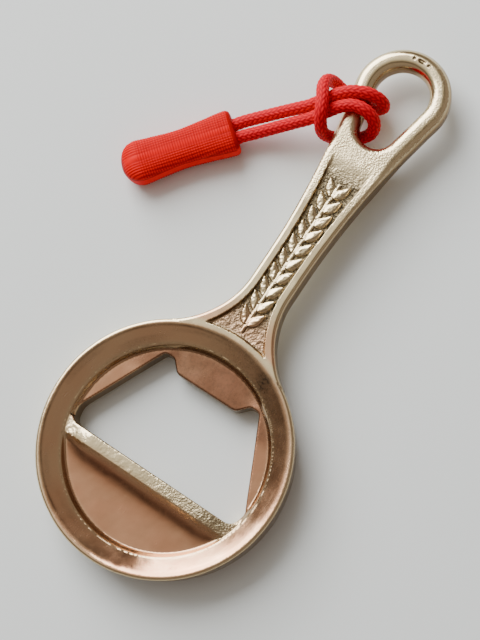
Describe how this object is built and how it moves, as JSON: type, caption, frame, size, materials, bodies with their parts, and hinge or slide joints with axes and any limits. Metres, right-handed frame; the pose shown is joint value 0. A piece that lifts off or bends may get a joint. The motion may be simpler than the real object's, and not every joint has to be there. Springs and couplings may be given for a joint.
{
  "type": "souvenir bottle opener",
  "caption": "Flat cast bottle opener: a round dished head with a lip and a tongue, a waisted handle and a loop, with a short braided cord and a moulded pull hitched on the loop.",
  "frame": {"origin": "on the table, under the middle of the casting's box, with the opener lying on its back", "axes": "+Y along the handle from the head to the loop, +Z out of the decorated face, +X to the right seen from the front"},
  "size_m": [0.0592, 0.103, 0.0106],
  "materials": {
    "plated_casting": "warm nickel plating, polished by handling, dark in the sunken field",
    "braided_cord": "tight round braid",
    "moulded_pull": "fine moulded grid on the faces, smooth satin sides"
  },
  "bodies": {
    "opener": {"opener_body": "plated_casting"},
    "hitch": {"cord_hitch": "braided_cord"},
    "pull": {"cord_legs": "braided_cord", "pull_tip": "moulded_pull"}
  },
  "joints": [
    {"name": "hitch_turn", "type": "hinge", "parent": "opener", "child": "hitch", "pos_m": [-0.00547, 0.03673, 0.0047], "axis": [-0.2079, 0.9781, 0], "range_deg": [-30, 80]},
    {"name": "pull_sway", "type": "hinge", "parent": "hitch", "child": "pull", "pos_m": [-0.01147, 0.03277, 0.00615], "axis": [0, 0, 1], "range_deg": [-35, 35]}
  ]
}
